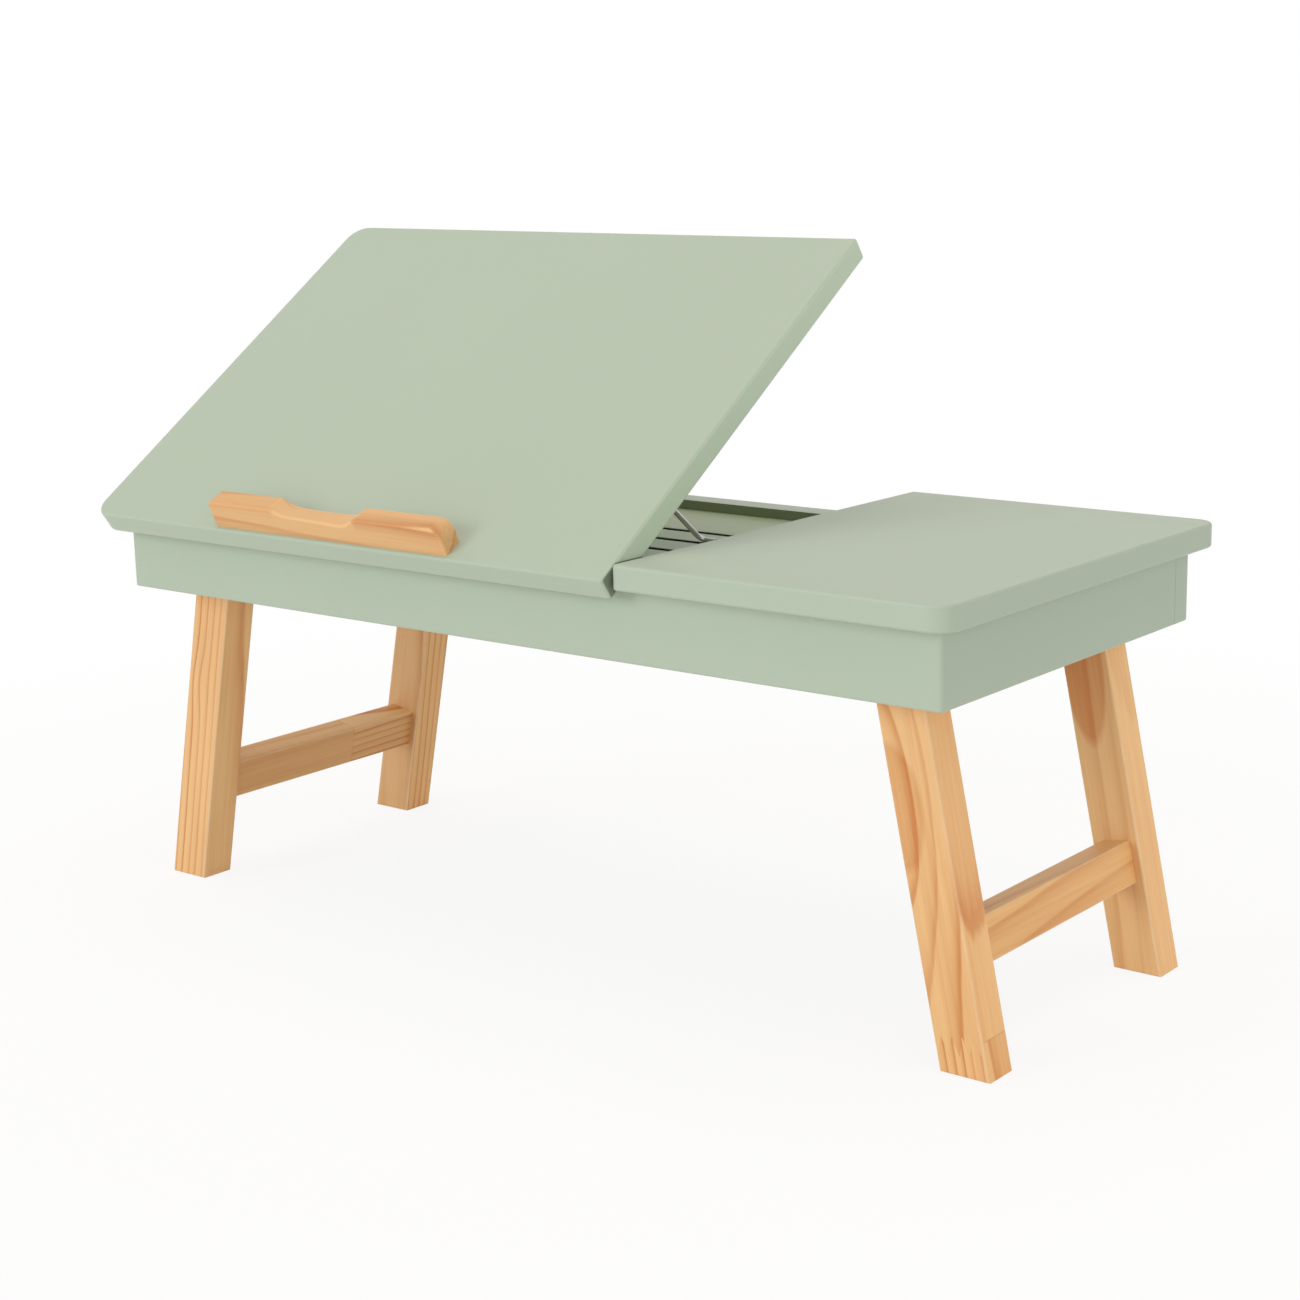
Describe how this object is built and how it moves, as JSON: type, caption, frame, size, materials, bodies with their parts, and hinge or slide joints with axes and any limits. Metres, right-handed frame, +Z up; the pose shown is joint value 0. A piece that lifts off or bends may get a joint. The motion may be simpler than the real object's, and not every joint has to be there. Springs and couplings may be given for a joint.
{
  "type": "laptop table",
  "caption": "Low folding laptop table: shallow painted tray, tilting top with ledge bar and wire prop, level side top, and splayed leg frames that fold under.",
  "frame": {"origin": "middle of the table's bounding box, on the surface that it stands on", "axes": "+X along the table towards the fixed top, +Y from front to back, +Z up"},
  "size_m": [0.664, 0.3236, 0.4363],
  "materials": {
    "painted_board": "satin sage paint",
    "pine": "clear matt lacquer",
    "steel": "zinc plated",
    "zinc_wire": "zinc plated"
  },
  "bodies": {
    "tray": {"apron_front": "painted_board", "apron_back": "painted_board", "apron_left": "painted_board", "apron_right": "painted_board", "floor_panel": "painted_board", "fixed_top": "painted_board", "corner_dowels": "pine", "fixed_top_dowels": "pine", "front_left_pivot_block": "pine", "front_right_pivot_block": "pine", "back_left_pivot_block": "pine", "back_right_pivot_block": "pine", "pivot_inserts": "steel", "pivot_bolts": "steel", "pivot_washers": "steel", "left_stop_rail": "pine", "right_stop_rail": "pine", "left_hinge_lower_leaf": "steel", "right_hinge_lower_leaf": "steel", "left_hinge_pin": "steel", "right_hinge_pin": "steel", "lower_hinge_screws": "steel"},
    "lid": {"tilt_top": "painted_board", "ledge_bar": "pine", "ledge_dowels": "pine", "left_hinge_upper_leaf": "steel", "right_hinge_upper_leaf": "steel", "upper_hinge_screws": "steel", "left_wire_clip": "steel", "right_wire_clip": "steel", "clip_screws": "steel"},
    "prop": {"wire_prop": "zinc_wire"},
    "left_leg_frame": {"left_front_leg": "pine", "left_back_leg": "pine", "left_stretcher": "pine", "left_stretcher_dowels": "pine"},
    "right_leg_frame": {"right_front_leg": "pine", "right_back_leg": "pine", "right_stretcher": "pine", "right_stretcher_dowels": "pine"}
  },
  "joints": [
    {"name": "tilt_hinge", "type": "hinge", "parent": "tray", "child": "lid", "pos_m": [0, -0.13723, 0.25515], "axis": [1, 0, 0], "range_deg": [-34.5, 24.5]},
    {"name": "prop_pivot", "type": "hinge", "parent": "lid", "child": "prop", "pos_m": [-0.1105, -0.04797, 0.31419], "axis": [1, 0, 0], "range_deg": [-52.7, 74.2]},
    {"name": "left_leg_fold", "type": "hinge", "parent": "tray", "child": "left_leg_frame", "pos_m": [-0.2697, 0.00677, 0.2245], "axis": [0, -1, 0], "range_deg": [0, 101.7]},
    {"name": "right_leg_fold", "type": "hinge", "parent": "tray", "child": "right_leg_frame", "pos_m": [0.2697, 0.00677, 0.2245], "axis": [0, 1, 0], "range_deg": [0, 101.7]}
  ],
  "couplings": [
    {"joint": "prop_pivot", "follows": "tilt_hinge", "ratio": -2.1498}
  ]
}
